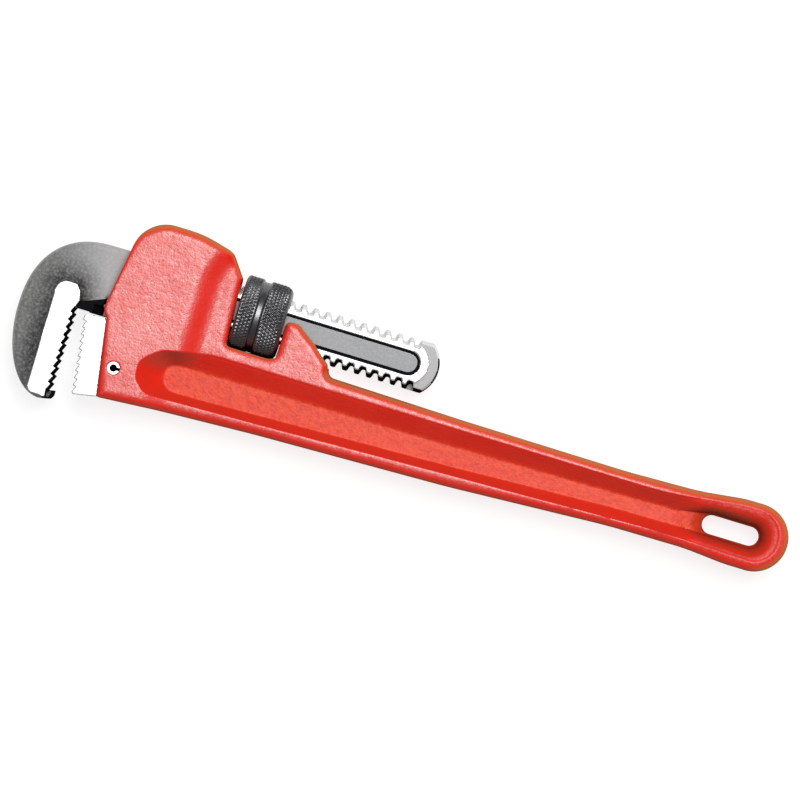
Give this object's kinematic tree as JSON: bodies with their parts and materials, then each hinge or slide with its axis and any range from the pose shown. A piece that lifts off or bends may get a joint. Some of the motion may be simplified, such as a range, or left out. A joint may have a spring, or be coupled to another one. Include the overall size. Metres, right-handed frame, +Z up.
{
  "type": "pipe wrench",
  "caption": "Adjustable pipe wrench with a cast handle, sliding hook jaw on a threaded shank, knurled adjusting nut and replaceable heel jaw.",
  "frame": {"origin": "under the middle of the wrench as it lies on its side, jaws nearly closed", "axes": "+X along the shank from the jaws to the handle's free end, +Y from the grip towards the housing's top, +Z up across the wrench's thickness"},
  "size_m": [0.3218, 0.0814, 0.031],
  "materials": {
    "handle_paint": "gloss paint over a rough casting",
    "forged_steel": "forged grey with bright ground faces",
    "black_oxide": "black oxide, knurled",
    "ground_steel": "bright ground steel",
    "pin_steel": "bright spring steel",
    "spring_wire": "dark spring wire",
    "spring_leaf": "blued spring strip",
    "rivet_steel": "plain steel"
  },
  "bodies": {
    "handle_assembly": {"handle": "handle_paint", "heel_jaw": "ground_steel", "heel_jaw_pin": "pin_steel", "coil_spring": "spring_wire", "flat_spring": "spring_leaf", "spring_rivet": "rivet_steel"},
    "hook_jaw": {"hook_jaw": "forged_steel"},
    "nut": {"adjusting_nut": "black_oxide"}
  },
  "joints": [
    {"name": "hook_slide", "type": "slide", "parent": "handle_assembly", "child": "hook_jaw", "axis": [-1, 0, 0], "range_m": [-0.0042, 0.054]},
    {"name": "nut_turn", "type": "hinge", "parent": "handle_assembly", "child": "nut", "pos_m": [-0.06645, 0.0154, 0.0155], "axis": [1, 0, 0], "range_deg": [-303, 3889]}
  ],
  "couplings": [
    {"joint": "nut_turn", "follows": "hook_slide", "rad_per_m": 1256.6}
  ]
}
